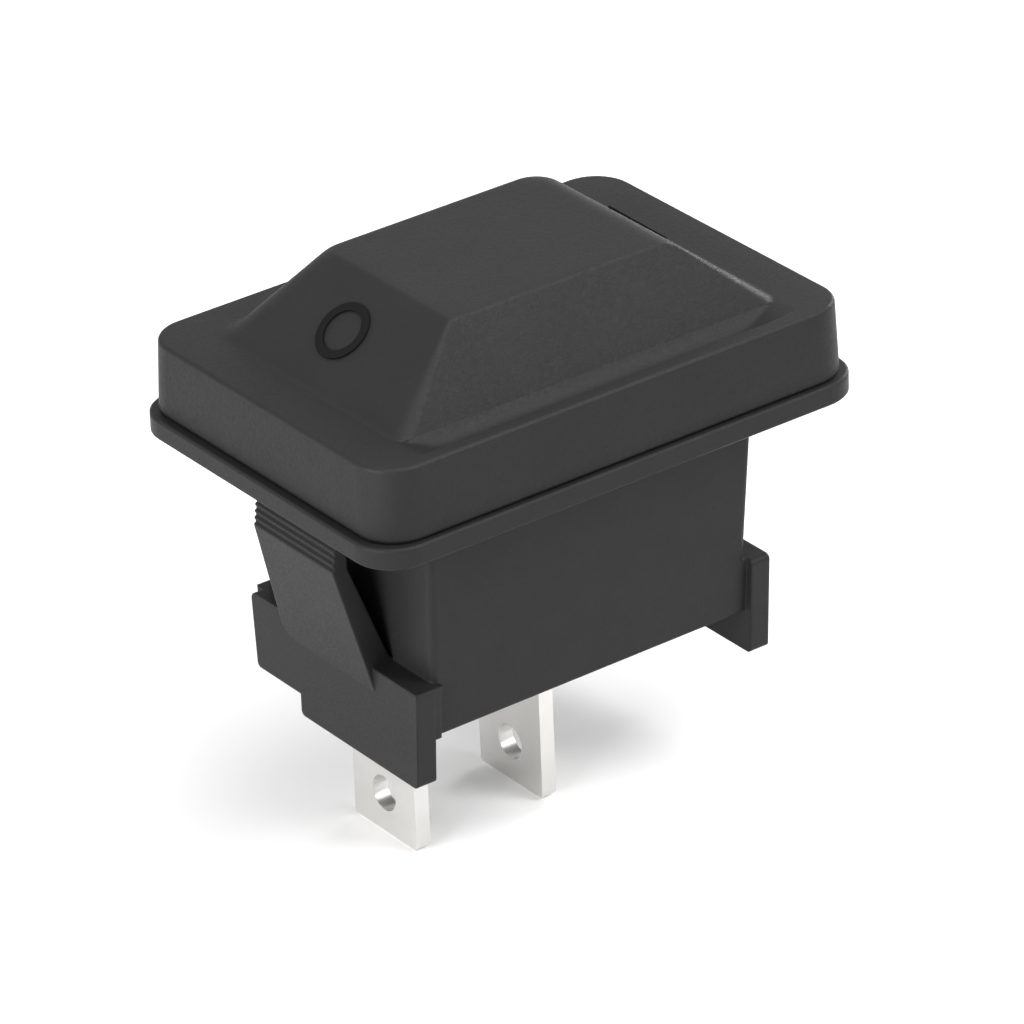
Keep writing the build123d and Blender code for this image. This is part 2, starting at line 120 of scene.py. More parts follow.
class Shader:
    """The nodes of one material, added and joined in order."""

    NOISE_LOW = 0.25
    NOISE_HIGH = 0.75

    def __init__(self, name: str) -> None:
        """Start an empty material with a Principled shader joined to its output."""
        self.material = bpy.data.materials.new(name)
        self.material.use_nodes = True
        self.tree = self.material.node_tree
        self.tree.nodes.clear()
        self.output = self.tree.nodes.new("ShaderNodeOutputMaterial")
        self.surface = self.tree.nodes.new("ShaderNodeBsdfPrincipled")
        self.join(self.surface.outputs["BSDF"], self.output.inputs["Surface"])

    def add(self, kind: str, values: Optional[Dict[str, object]] = None,
            **settings: object) -> bpy.types.Node:
        """Add a node.

        Args:
            kind: The node's type without its ShaderNode prefix.
            values: Input socket name to value.
            **settings: Attributes of the node itself.

        Returns:
            The new node.
        """
        node = self.tree.nodes.new("ShaderNode" + kind)
        for key, value in settings.items():
            setattr(node, key, value)
        for key, value in (values or {}).items():
            node.inputs[key].default_value = value
        return node

    def join(self, source: bpy.types.NodeSocket, target: bpy.types.NodeSocket) -> None:
        """Join an output socket to an input socket."""
        self.tree.links.new(source, target)

    def per_mm(self, stretch: Vector = Vector((1, 1, 1))) -> bpy.types.NodeSocket:
        """Object coordinates in millimetres, stretched along each axis."""
        place = self.add("TexCoord")
        scale = self.add("Mapping", {"Scale": stretch / MM})
        self.join(place.outputs["Object"], scale.inputs["Vector"])
        return scale.outputs["Vector"]

    def noise(self, place: bpy.types.NodeSocket, per_mm: float, detail: float = 2.0,
              distortion: float = 0.0) -> bpy.types.NodeSocket:
        """Noise as a value from 0 to 1.

        Args:
            place: The coordinates, in millimetres.
            per_mm: Cells to the millimetre.
            detail: Octaves of finer noise.
            distortion: How far the noise bends itself.

        Returns:
            The noise's output socket.
        """
        node = self.add("TexNoise", {"Scale": per_mm, "Detail": detail, "Distortion": distortion})
        self.join(place, node.inputs["Vector"])
        return node.outputs["Fac"]

    def ramp(self, value: bpy.types.NodeSocket, low: float, high: float) -> bpy.types.NodeSocket:
        """Map the middle part of a noise, where most of its values lie, on to a range."""
        node = self.add("MapRange", {"From Min": self.NOISE_LOW, "From Max": self.NOISE_HIGH,
                                     "To Min": low, "To Max": high})
        self.join(value, node.inputs["Value"])
        return node.outputs["Result"]

    def tint(self, value: bpy.types.NodeSocket, dark: Colour, light: Colour) -> bpy.types.NodeSocket:
        """Mix two colours by a value.

        Args:
            value: Share of the second colour, from 0 to 1.
            dark: The first colour.
            light: The second colour.

        Returns:
            The mixed colour's output socket.
        """
        node = self.add("Mix", data_type="RGBA")
        node.inputs["A"].default_value = (*dark, 1.0)
        node.inputs["B"].default_value = (*light, 1.0)
        self.join(value, node.inputs["Factor"])
        return node.outputs["Result"]

    def coat(self, colour: bpy.types.NodeSocket, uneven: bpy.types.NodeSocket, roughness: float,
             spread: float) -> None:
        """Give the surface a colour, and a roughness that varies with a noise.

        Args:
            colour: Output socket with the colour.
            uneven: The noise, from 0 to 1.
            roughness: The middle roughness.
            spread: How far the roughness goes from it, to both sides.
        """
        self.join(colour, self.surface.inputs["Base Color"])
        self.join(self.ramp(uneven, roughness - spread, roughness + spread),
                  self.surface.inputs["Roughness"])

    def round_edges(self, radius: float) -> None:
        """Soften the shading of every edge over a radius in millimetres."""
        node = self.add("Bevel", {"Radius": radius * MM}, samples=6)
        self.join(node.outputs["Normal"], self.surface.inputs["Normal"])

    def bump(self, height: bpy.types.NodeSocket, depth: float, strength: float) -> None:
        """Bump the surface, over its rounded edges where it has them.

        Args:
            height: The pattern, from 0 to 1.
            depth: Height of the pattern at 1, in millimetres.
            strength: Share of the bump that shows.
        """
        node = self.add("Bump", {"Strength": strength, "Distance": depth * MM})
        self.join(height, node.inputs["Height"])
        if self.surface.inputs["Normal"].is_linked:
            earlier = self.surface.inputs["Normal"].links[0].from_socket
            self.join(earlier, node.inputs["Normal"])
        self.join(node.outputs["Normal"], self.surface.inputs["Normal"])


@dataclass(frozen=True)
class RubberFinish:
    """Moulded black rubber with a soft, leathery grain."""

    name: str
    colour: Colour = (0.008, 0.008, 0.0083)
    light: Colour = (0.012, 0.012, 0.0124)
    roughness: float = 0.55
    grain_per_mm: float = 4.6
    grain_depth: float = 0.02
    grain_strength: float = 0.7
    grain_distortion: float = 1.2
    specular: float = 0.2
    cloud_per_mm: float = 0.35
    spread: float = 0.07

    def material(self) -> bpy.types.Material:
        """Build the rubber's nodes."""
        shader = Shader(self.name)
        place = shader.per_mm()
        cloud = shader.noise(place, self.cloud_per_mm, detail=3.0)
        grain = shader.noise(place, self.grain_per_mm, detail=3.0, distortion=self.grain_distortion)
        shader.coat(shader.tint(cloud, self.colour, self.light), grain, self.roughness, self.spread)
        shader.surface.inputs["Specular IOR Level"].default_value = self.specular
        shader.bump(grain, self.grain_depth, self.grain_strength)
        return shader.material


@dataclass(frozen=True)
class MouldedPlasticFinish:
    """Black thermoplastic with the speckle of a spark-eroded mould."""

    name: str
    colour: Colour = (0.012, 0.012, 0.0124)
    light: Colour = (0.016, 0.016, 0.0165)
    roughness: float = 0.48
    speckle_per_mm: float = 7.5
    speckle_depth: float = 0.008
    speckle_strength: float = 0.5
    specular: float = 0.14
    edge_round: float = 0.16
    cloud_per_mm: float = 0.5
    spread: float = 0.08

    def material(self) -> bpy.types.Material:
        """Build the plastic's nodes."""
        shader = Shader(self.name)
        place = shader.per_mm()
        cloud = shader.noise(place, self.cloud_per_mm, detail=3.0)
        speckle = shader.noise(place, self.speckle_per_mm)
        shader.coat(shader.tint(cloud, self.colour, self.light), speckle, self.roughness, self.spread)
        shader.surface.inputs["Specular IOR Level"].default_value = self.specular
        shader.round_edges(self.edge_round)
        shader.bump(speckle, self.speckle_depth, self.speckle_strength)
        return shader.material


class RollDirection(Enum):
    """Axis along which a metal strip was rolled or drawn."""

    ALONG_X = Vector((0.12, 1.0, 1.0))
    ALONG_Z = Vector((1.0, 1.0, 0.12))
    NONE = Vector((1.0, 1.0, 1.0))


@dataclass(frozen=True)
class StripMetalFinish:
    """Rolled or drawn metal with fine lines along it and a faint stain."""

    name: str
    colour: Colour
    stain: Colour
    roughness: float
    direction: RollDirection = RollDirection.NONE
    lines_per_mm: float = 14.0
    line_depth: float = 0.002
    line_strength: float = 0.4
    cloud_per_mm: float = 0.6
    cloud_distortion: float = 0.5
    spread: float = 0.05

    def material(self) -> bpy.types.Material:
        """Build the metal's nodes."""
        shader = Shader(self.name)
        along = shader.per_mm(self.direction.value)
        lines = shader.noise(along, self.lines_per_mm, detail=3.0)
        cloud = shader.noise(shader.per_mm(), self.cloud_per_mm, detail=3.0,
                             distortion=self.cloud_distortion)
        shader.coat(shader.tint(cloud, self.stain, self.colour), lines, self.roughness, self.spread)
        shader.surface.inputs["Metallic"].default_value = 1.0
        shader.bump(lines, self.line_depth, self.line_strength)
        return shader.material


@dataclass(frozen=True)
class Ring:
    """One level of a shell: its reach to each of the four sides, its corners and its height."""

    left: float
    right: float
    front: float
    back: float
    front_corner: float
    back_corner: float
    height: float

    @classmethod
    def even(cls, half_x: float, half_y: float, corner: float, height: float) -> "Ring":
        """A ring that is the same to both ends and to both sides."""
        return cls(half_x, half_x, half_y, half_y, corner, corner, height)


class RingShell:
    """A closed shell of rounded-rectangle rings, each one extruded from the ring before it."""

    CORE = 0.5
    CROWDING = 1.5

    def __init__(self, corner_segments: int, side_cuts: int) -> None:
        """Make the first ring's face.

        Args:
            corner_segments: Segments in each rounded corner.
            side_cuts: Cuts in each straight side.
        """
        self.mesh = bmesh.new()
        bmesh.ops.create_grid(self.mesh, x_segments=1, y_segments=1, size=1.0)
        bmesh.ops.bevel(self.mesh, geom=list(self.mesh.verts), offset=1.0 - self.CORE,
                        segments=corner_segments, profile=0.5, affect="VERTICES", material=-1)
        sides = [edge for edge in self.mesh.edges if edge.calc_length() > self.CORE]
        bmesh.ops.subdivide_edges(self.mesh, edges=sides, cuts=side_cuts)
        self.address = self.mesh.verts.layers.float_vector.new("address")
        for vert in self.mesh.verts:
            vert[self.address] = vert.co.copy()
        self.first = self.mesh.faces[:][0]
        self.loop: List[bmesh.types.BMEdge] = list(self.first.edges)

    def _share(self, value: float) -> Tuple[float, float]:
        """Split a place along a side into its share of the straight part and of the corner.

        Args:
            value: The place in the first ring, from -1 to 1.

        Returns:
            The share of the straight part, crowded towards the corner, and the share of the corner,
            both with the place's sign.
        """
        straight = min(abs(value), self.CORE) / self.CORE
        crowded = 1 - (1 - straight) ** self.CROWDING
        round_part = max(0.0, abs(value) - self.CORE) / (1.0 - self.CORE)
        return math.copysign(crowded, value), math.copysign(round_part, value)

    def _place(self, verts: Sequence[bmesh.types.BMVert], ring: Ring) -> None:
        """Move a ring's vertices to their level.

        Args:
            verts: The ring's vertices.
            ring: The level.
        """
        for vert in verts:
            share = vert[self.address]
            straight_x, round_x = self._share(share[0])
            straight_y, round_y = self._share(share[1])
            reach_x = ring.right if share[0] > 0 else ring.left
            reach_y = ring.back if share[1] > 0 else ring.front
            corner = ring.back_corner if share[1] > 0 else ring.front_corner
            vert.co.x = straight_x * (reach_x - corner) + round_x * corner
            vert.co.y = straight_y * (reach_y - corner) + round_y * corner
            vert.co.z = ring.height

    def build(self, rings: Sequence[Ring]) -> bmesh.types.BMesh:
        """Stack the rings, with a cap on the first and on the last.

        Args:
            rings: The levels in order, along the shell's section.

        Returns:
            The closed mesh, in millimetres.
        """
        self._place(list(self.first.verts), rings[0])
        for ring in rings[1:]:
            made = bmesh.ops.extrude_edge_only(self.mesh, edges=self.loop)["geom"]
            verts = {part for part in made if isinstance(part, bmesh.types.BMVert)}
            self._place(list(verts), ring)
            self.loop = [part for part in made if isinstance(part, bmesh.types.BMEdge)
                         and verts.issuperset(part.verts)]
        bmesh.ops.contextual_create(self.mesh, geom=self.loop)
        return self.mesh


@dataclass(frozen=True)
class Slope:
    """A side of the raised form in section: its half size at foot and crest, and its edge radii."""

    foot: float
    crest: float
    rise: float
    foot_radius: float
    crest_radius: float

    @property
    def angle(self) -> float:
        """Angle of the slope above the horizontal, in radians."""
        return math.atan2(self.rise, self.foot - self.crest)

    def half(self, up: float) -> float:
        """Half size at a height above the foot, round both edges.

        Args:
            up: Height above the foot.

        Returns:
            The half size there.
        """
        turn = self.angle
        if up < self.foot_radius * (1 - math.cos(turn)):
            at = math.acos(max(-1.0, 1 - up / self.foot_radius))
            return self.foot + self.foot_radius * (math.tan(turn / 2) - math.sin(at))
        down = self.rise - up
        if down < self.crest_radius * (1 - math.cos(turn)):
            at = math.acos(max(-1.0, 1 - down / self.crest_radius))
            return self.crest - self.crest_radius * (math.tan(turn / 2) - math.sin(at))
        return self.foot - up / math.tan(turn)

    def bends(self, steps: int) -> List[float]:
        """Heights above the foot that follow both edges' radii."""
        turns = [1 - math.cos(self.angle * step / steps) for step in range(steps + 1)]
        return ([self.foot_radius * turn for turn in turns]
                + [self.rise - self.crest_radius * turn for turn in turns])


@dataclass(frozen=True)
class Gutter:
    """The shallow cove along the front of the raised form, which runs out softly at its ends."""

    LEAST_BLEND = 1e-6

    left: float = -10.9
    right: float = 10.8
    half_y: float = 8.56
    depth: float = 0.55
    left_run: float = 2.2
    right_run: float = 3.2
    wall_run: float = 0.24
    blend: float = 0.75

    @staticmethod
    def _ease(share: float) -> float:
        """Smooth step from 0 to 1."""
        share = max(0.0, min(1.0, share))
        return share * share * (3 - 2 * share)

    def sunk(self, x: float, y: float) -> float:
        """Depth of the cove below the rim at a place, as its share from 0 to 1."""
        ends = self._ease((x - self.left) / self.left_run) * self._ease((self.right - x) / self.right_run)
        return ends * self._ease((self.half_y + y) / self.wall_run) if y < 0 else 0.0

    def height(self, x: float, y: float, rim: float, slope: float) -> float:
        """Height of the hood's top beside the raised form.

        Args:
            x: Place along the switch.
            y: Place across it.
            rim: Height of the flat rim.
            slope: Height of the form's own slope, carried on below the rim.

        Returns:
            The height there, with a soft valley between the slope and the cove's floor.
        """
        share = self.sunk(x, y)
        floor = rim - self.depth * share
        soft = max(self.blend * share, self.LEAST_BLEND)
        mixing = max(0.0, min(1.0, 0.5 + 0.5 * (slope - floor) / soft))
        return floor + (slope - floor) * mixing + soft * mixing * (1 - mixing)


@dataclass(frozen=True)
class RubberHood:
    """The hood: drafted skirt, flat rim with a cove in front, raised hip form, and raised O and I.

    The O stands on the -X slope, whose crest is the crisp one, and the I on the +X slope. Corners are
    given at the form's foot and then at its crest.
    """

    RIM_SHARES = (0.06, 0.14, 0.22, 0.3, 0.4, 0.55, 0.75, 0.9, 0.93, 0.96, 0.98, 1.0, 1.04)
    SKIRT_SHARES = (0.7, 0.35, 0.0)
    CEILING_SHARES = (0.0, 0.25, 0.5, 0.75, 1.0)
    LEAST_STEP = 0.004
    AT_RIM = 1e-5

    corner: float = 2.0
    rim_height: float = 4.7
    end_draft_deg: float = 1.5
    side_draft_deg: float = 2.6
    side_wall: float = 1.1
    top_wall: float = 0.8
    rim_round: float = 0.2
    lip_round: float = 0.26
    bead_depth: float = 0.3
    bead_height: float = 0.7
    bead_rise: float = 0.7
    form_half_x: float = 10.62
    form_half_y: float = 7.09
    crest_half_x: float = 6.13
    crest_half_y: float = 4.86
    form_rise: float = 3.7
    crest_insets: Tuple[float, ...] = (2.4, 1.2, 0.4)
    front_corners: Tuple[float, float] = (0.75, 0.18)
    back_corners: Tuple[float, float] = (1.5, 1.1)
    inner_corner: float = 0.3
    valley_radius: float = 0.55
    off_crest_radius: float = 0.5
    on_crest_radius: float = 2.0
    front_crest_radius: float = 0.3
    back_radius: float = 0.9
    rim_growth: float = 0.9
    front_corner_growth: float = 0.3
    back_corner_growth: float = 0.1
    mark_root: float = 0.1
    mark_height: float = 0.13
    mark_edge: float = 0.04
    mark_up_slope: float = 3.0
    mark_aside: float = 0.25
    ring_outer: float = 1.45
    ring_inner: float = 1.03
    ring_steps: int = 72
    bar_length: float = 4.1
    bar_width: float = 0.45
    arc_steps: int = 7
    lip_steps: int = 4
    slope_steps: int = 12
    sharp_deg: float = 32.0

    def outer_rings(self, half_x: float, half_y: float, low: float, crest: float) -> List[Ring]:
        """Rings of the outside, from the crest's middle down to the skirt's lower edge.

        Args:
            half_x: Half length of the hood at its lip.
            half_y: Half width there.
            low: Height of the lower edge.
            crest: Height of the flat top.

        Returns:
            The rings in order.
        """
        rise = crest - self.rim_height
        slopes = (Slope(self.form_half_x, self.crest_half_x, rise, self.valley_radius, self.off_crest_radius),
                  Slope(self.form_half_x, self.crest_half_x, rise, self.valley_radius, self.on_crest_radius),
                  Slope(self.form_half_y, self.crest_half_y, rise, 0.0, self.front_crest_radius),
                  Slope(self.form_half_y, self.crest_half_y, rise, self.back_radius, self.back_radius))
        rings = [Ring(*(slope.half(rise) - inset for slope in slopes),
                      self.front_corners[1], self.back_corners[1], crest)
                 for inset in self.crest_insets]
        for up in self._levels(rise, slopes):
            corners = [foot + (top - foot) * (up / rise)
                       for foot, top in (self.front_corners, self.back_corners)]
            rings.append(Ring(*(slope.half(up) for slope in slopes), *corners, self.rim_height + up))
        rings += self._rim_rings(rings[-1], half_x, half_y, low)
        return rings

    def _levels(self, rise: float, slopes: Sequence[Slope]) -> List[float]:
        """Heights above the rim at which the raised form gets a ring.

        Args:
            rise: Height of the crest above the rim.
            slopes: The form's four sides.

        Returns:
            The heights, from the crest down to 0.
        """
        levels = [rise * step / self.slope_steps for step in range(1, self.slope_steps)]
        for slope in slopes:
            levels += slope.bends(self.arc_steps)
        kept: List[float] = []
        for level in sorted(levels, reverse=True):
            if not kept or kept[-1] - level > self.LEAST_STEP:
                kept.append(level)
        kept[-1] = 0.0
        return kept

    def _rim_rings(self, foot: Ring, half_x: float, half_y: float, low: float) -> List[Ring]:
        """Rings across the rim and down the skirt, from the form's foot out.

        Args:
            foot: The raised form's last ring.
            half_x: Half length of the hood at its lip.
            half_y: Half width there.
            low: Height of the lower edge.

        Returns:
            The rings in order.
        """
        gutter = Gutter()
        rings = []
        for share in self.RIM_SHARES:
            front, back = ((gutter.half_y - reach) * share for reach in (foot.front, foot.back))
            ends = self.rim_growth * share
            rings.append(Ring(foot.left + ends, foot.right + ends, foot.front + front, foot.back + back,
                              foot.front_corner + self.front_corner_growth * share,
                              foot.back_corner + self.back_corner_growth * share, self.rim_height))
        end_draft = math.tan(math.radians(self.end_draft_deg))
        side_draft = math.tan(math.radians(self.side_draft_deg))
        lip_z, rim_z = low + self.lip_round, self.rim_height - self.rim_round
        top = rim_z - lip_z
        for step in range(self.arc_steps + 1):
            turn = math.pi / 2 * step / self.arc_steps
            inset = self.rim_round * (1 - math.sin(turn))
            drop = self.rim_round * (1 - math.cos(turn))
            rings.append(Ring.even(half_x - top * end_draft - inset, half_y - top * side_draft - inset,
                                   self.corner - inset, self.rim_height - drop))
        for share in self.SKIRT_SHARES:
            rings.append(Ring.even(half_x - top * end_draft * share, half_y - top * side_draft * share,
                                   self.corner, lip_z + top * share))
        for step in range(1, self.lip_steps + 1):
            turn = math.pi / 2 * step / self.lip_steps
            inset = self.lip_round * (1 - math.cos(turn))
            rings.append(Ring.even(half_x - inset, half_y - inset, self.corner - inset,
                                   lip_z - self.lip_round * math.sin(turn)))
        return rings

    def inner_rings(self, half_x: float, half_y: float, low: float, crest: float) -> List[Ring]:
        """Rings of the inside, from the skirt's lower edge up to the ceiling's middle.

        Args:
            half_x: Half length of the hood at its lip.
            half_y: Half width there.
            low: Height of the lower edge.
            crest: Height of the flat top.

        Returns:
            The rings in order.
        """
        wall_x, wall_y = half_x - self.side_wall, half_y - self.side_wall
        corner = self.corner - self.side_wall
        ceiling = self.rim_height - self.top_wall
        bead = low + self.bead_rise
        steps = [(0.0, low), (0.0, bead), (self.bead_depth, bead), (self.bead_depth, bead + self.bead_height),
                 (0.0, bead + self.bead_height), (0.0, ceiling)]
        rings = [Ring.even(wall_x - inset, wall_y - inset, corner - inset, height) for inset, height in steps]
        rise = crest - self.rim_height
        for share in self.CEILING_SHARES:
            height = ceiling + (crest - self.top_wall - ceiling) * share
            sizes = []
            for foot, top in ((self.form_half_x, self.crest_half_x), (self.form_half_y, self.crest_half_y)):
                run = foot - top
                square = self.top_wall * math.hypot(run, rise) / rise
                sizes.append(top + run * (crest - height) / rise - square)
            rings.append(Ring.even(sizes[0], sizes[1], self.inner_corner, height))
        return rings

    def sink_gutter(self, mesh: bmesh.types.BMesh, crest: float) -> None:
        """Lower the rim's vertices into the cove.

        Args:
            mesh: The hood's mesh, in millimetres.
            crest: Height of the flat top.
        """
        gutter = Gutter()
        fall = (crest - self.rim_height) / (self.form_half_y - self.crest_half_y)
        corner = self.front_corners[0]
        for vert in mesh.verts:
            if abs(vert.co.z - self.rim_height) > self.AT_RIM:
                continue
            over_x = max(abs(vert.co.x) - (self.form_half_x - corner), 0.0)
            over_y = max(abs(vert.co.y) - (self.form_half_y - corner), 0.0)
            beyond = max(0.0, math.hypot(over_x, over_y) - corner)
            vert.co.z = gutter.height(vert.co.x, vert.co.y, self.rim_height,
                                      self.rim_height - beyond * fall)

    def slope_matrix(self, end: int, crest: float) -> Matrix:
        """Frame on an end slope at its mark: Z out of the slope and X along the switch's Y.

        Args:
            end: 1 for the +X end, -1 for the -X end.
            crest: Height of the flat top.

        Returns:
            The matrix, in millimetres.
        """
        run, rise = self.form_half_x - self.crest_half_x, crest - self.rim_height
        length = math.hypot(run, rise)
        place = Vector((end * (self.form_half_x - run * self.mark_up_slope / length), self.mark_aside,
                        self.rim_height + rise * self.mark_up_slope / length))
        normal = Vector((end * rise, 0, run)) / length
        side = Vector((0, 1, 0))
        turn = Matrix((side, normal.cross(side), normal)).transposed().to_4x4()
        return Matrix.Translation(place) @ turn

    def ring_mark(self, place: Matrix) -> bpy.types.Object:
        """The O: a flat-topped ring, spun round its middle.

        Args:
            place: Its frame on the slope, in millimetres.

        Returns:
            The ring, to be joined to the hood.
        """
        mesh = bmesh.new()
        top, edge = self.mark_height, self.mark_edge
        cut = edge * 0.3
        section = [(self.ring_inner, -self.mark_root), (self.ring_outer, -self.mark_root),
                   (self.ring_outer, top - edge), (self.ring_outer - cut, top - cut),
                   (self.ring_outer - edge, top), (self.ring_inner + edge, top),
                   (self.ring_inner + cut, top - cut), (self.ring_inner, top - edge)]
        verts = [mesh.verts.new((x, 0, z)) for x, z in section]
        edges = [mesh.edges.new((first, second)) for first, second in zip(verts, verts[1:] + verts[:1])]
        bmesh.ops.spin(mesh, geom=[*verts, *edges], angle=2 * math.pi, steps=self.ring_steps,
                       axis=(0, 0, 1), cent=(0, 0, 0), use_merge=True)
        bmesh.ops.remove_doubles(mesh, verts=mesh.verts, dist=1e-4)
        bmesh.ops.transform(mesh, matrix=place, verts=mesh.verts)
        return as_object(mesh, "ring_mark")

    def bar_mark(self, place: Matrix) -> bpy.types.Object:
        """The I: a flat-topped bar with round ends, along the slope.

        Args:
            place: Its frame on the slope, in millimetres.

        Returns:
            The bar, to be joined to the hood.
        """
        mesh = bmesh.new()
        bmesh.ops.create_cube(mesh, size=1.0)
        size = Vector((self.bar_width, self.bar_length, self.mark_height + self.mark_root))
        bmesh.ops.scale(mesh, vec=size, verts=mesh.verts)
        bmesh.ops.translate(mesh, vec=(0, 0, (self.mark_height - self.mark_root) / 2), verts=mesh.verts)
        near = self.mark_height / 10
        upright = [edge for edge in mesh.edges if abs(edge.verts[0].co.z - edge.verts[1].co.z) > near]
        bmesh.ops.bevel(mesh, geom=upright, offset=self.bar_width * 0.49, segments=8, profile=0.5,
                        affect="EDGES", material=-1)
        brow = [edge for edge in mesh.edges
                if min(vert.co.z for vert in edge.verts) > self.mark_height - near]
        bmesh.ops.bevel(mesh, geom=brow, offset=self.mark_edge, segments=2, profile=0.5,
                        affect="EDGES", material=-1, clamp_overlap=True)
        bmesh.ops.transform(mesh, matrix=place, verts=mesh.verts)
        return as_object(mesh, "bar_mark")

    def join_marks(self, piece: bpy.types.Object, marks: Sequence[bpy.types.Object]) -> None:
        """Grow the marks out of the hood's slopes.

        Args:
            piece: The hood, which takes the joined mesh.
            marks: The marks, which are removed.
        """
        for mark in marks:
            union = piece.modifiers.new("mark", "BOOLEAN")
            union.operation = "UNION"
            union.solver = "EXACT"
            union.object = mark
        bpy.context.view_layer.update()
        graph = bpy.context.evaluated_depsgraph_get()
        finished = bpy.data.meshes.new_from_object(piece.evaluated_get(graph))
        piece.modifiers.clear()
        piece.data = finished
        finished.name = piece.name
        for mark in marks:
            bpy.data.objects.remove(mark)

    def paint_marks(self, piece: bpy.types.Object, frames: Sequence[Matrix]) -> None:
        """Give the marks' faces the second material slot, whose darker colour is painted shade.

        Args:
            piece: The hood with its marks, in metres.
            frames: The frames on the slopes that the marks were built in, in millimetres.
        """
        reach, above = self.bar_length / 2, 0.01
        for face in piece.data.polygons:
            for place in frames:
                local = place.inverted() @ (face.center / MM)
                if math.hypot(local.x, local.y) < reach and above < local.z < 2 * self.mark_height:
                    face.material_index = 1

    def build(self, rubber: bpy.types.Material, mark: bpy.types.Material) -> bpy.types.Object:
        """Build the hood in place of its plain solid.

        Args:
            rubber: The hood's finish.
            mark: The finish of the O and I: the rubber with a darker colour, which is painted shade standing
                in for the dark reflection in their polished tops.

        Returns:
            The hood.
        """
        low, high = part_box("rubber_hood")
        half_x, half_y, foot = high.x / MM, high.y / MM, low.z / MM
        crest = self.rim_height + self.form_rise
        shell = RingShell(corner_segments=10, side_cuts=47)
        rings = self.outer_rings(half_x, half_y, foot, crest) + self.inner_rings(half_x, half_y, foot, crest)
        mesh = shell.build(rings)
        self.sink_gutter(mesh, crest)
        piece = as_object(mesh, "hood_shell", self.sharp_deg)
        frames = [self.slope_matrix(-1, crest), self.slope_matrix(1, crest)]
        self.join_marks(piece, [self.ring_mark(frames[0]), self.bar_mark(frames[1])])
        piece.data.materials.clear()
        piece.data.materials.append(rubber)
        piece.data.materials.append(mark)
        self.paint_marks(piece, frames)
        smooth(piece.data, self.sharp_deg)
        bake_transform(piece)
        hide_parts("rubber_hood")
        LOG.info("hood_shell: %d faces", len(piece.data.polygons))
        return piece


@dataclass(frozen=True)
class CoilSpring:
    """The plunger's spring in round wire."""

    wire_radius: float = 0.14
    wire_sides: int = 14
    turns: float = 5.5
    steps_per_turn: int = 40
    travel: float = 0.6
    sharp_deg: float = 50.0

    def build(self, steel: bpy.types.Material) -> bpy.types.Object:
        """Wind the coil in place of its plain solid.

        Args:
            steel: The wire's finish.

        Returns:
            The coil, carried by the rocker.
        """
        low, high = (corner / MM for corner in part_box("plunger_spring"))
        middle = (low.x + high.x) / 2
        radius = (high.y - low.y) / 2 - self.wire_radius
        rise = high.z - low.z - 2 * self.wire_radius
        steps = round(self.turns * self.steps_per_turn)
        mesh = bmesh.new()
        upright = Matrix.Rotation(math.pi / 2, 4, "X")
        section = Matrix.Translation((middle + radius, 0, low.z + self.wire_radius)) @ upright
        bmesh.ops.create_circle(mesh, cap_ends=True, segments=self.wire_sides, radius=self.wire_radius,
                                matrix=section)
        bmesh.ops.spin(mesh, geom=[*mesh.verts, *mesh.edges, *mesh.faces], cent=(middle, 0, 0),
                       axis=(0, 0, 1), dvec=(0, 0, rise / steps), angle=2 * math.pi * self.turns,
                       steps=steps)
        piece = as_object(mesh, "round_coil", self.sharp_deg)
        piece.data.materials.append(steel)
        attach(piece, "rocker")
        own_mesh(piece)
        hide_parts("plunger_spring")
        LOG.info("round_coil: %d faces", len(piece.data.polygons))
        return piece


@dataclass(frozen=True)
class CarriedNode:
    """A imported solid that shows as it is, under its own finish."""

    node: str

    def dress(self, material: bpy.types.Material) -> None:
        """Give the solid its finish.

        Args:
            material: The finish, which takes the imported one's place.
        """
        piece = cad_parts[self.node]
        piece.data.materials.clear()
        piece.data.materials.append(material)
        LOG.info("%s: %s", self.node, material.name)


@dataclass(frozen=True)
class PhotoCamera:
    """The camera of the photograph, fitted to a frame of 1024 by 1024 pixels."""

    azimuth_deg: float = 36.03
    elevation_deg: float = 28.31
    roll_deg: float = -2.217
    focal_px: float = 6854.0
    distance: float = 312.6
    shift_x: float = 0.527
    shift_y: float = -4.724
    frame_px: int = 1024
    sensor_mm: float = 36.0

    def build(self) -> bpy.types.Object:
        """Place the camera and make it the scene's.

        Returns:
            The camera.
        """
        turn, lift, roll = (math.radians(angle) for angle in
                            (self.azimuth_deg, self.elevation_deg, self.roll_deg))
        level = Vector((math.cos(turn), -math.sin(turn), 0))
        back = Vector((-math.sin(turn) * math.cos(lift), -math.cos(turn) * math.cos(lift), math.sin(lift)))
        plumb = back.cross(level)
        right = math.cos(roll) * level + math.sin(roll) * plumb
        up = -math.sin(roll) * level + math.cos(roll) * plumb
        place = (self.distance * back + self.shift_x * right + self.shift_y * up) * MM
        data = bpy.data.cameras.new("camera")
        data.sensor_width = self.sensor_mm
        data.lens = self.focal_px / self.frame_px * self.sensor_mm
        data.clip_start = 0.01
        data.clip_end = 5.0
        camera = bpy.data.objects.new("camera", data)
        camera.matrix_world = Matrix.Translation(place) @ Matrix((right, up, back)).transposed().to_4x4()
        bpy.context.scene.collection.objects.link(camera)
        bpy.context.scene.camera = camera
        return camera


@dataclass(frozen=True)
class SoftLight:
    """A large square lamp that faces the switch, its place and size in millimetres."""

    name: str
    place: Tuple[float, float, float]
    size: float
    power: float

    def build(self) -> None:
        """Hang the lamp and turn it to the switch."""
        data = bpy.data.lights.new(self.name, "AREA")
        data.size = self.size * MM
        data.energy = self.power
        lamp = bpy.data.objects.new(self.name, data)
        lamp.location = Vector(self.place) * MM
        lamp.rotation_euler = (-Vector(self.place)).to_track_quat("-Z", "Y").to_euler()
        bpy.context.scene.collection.objects.link(lamp)


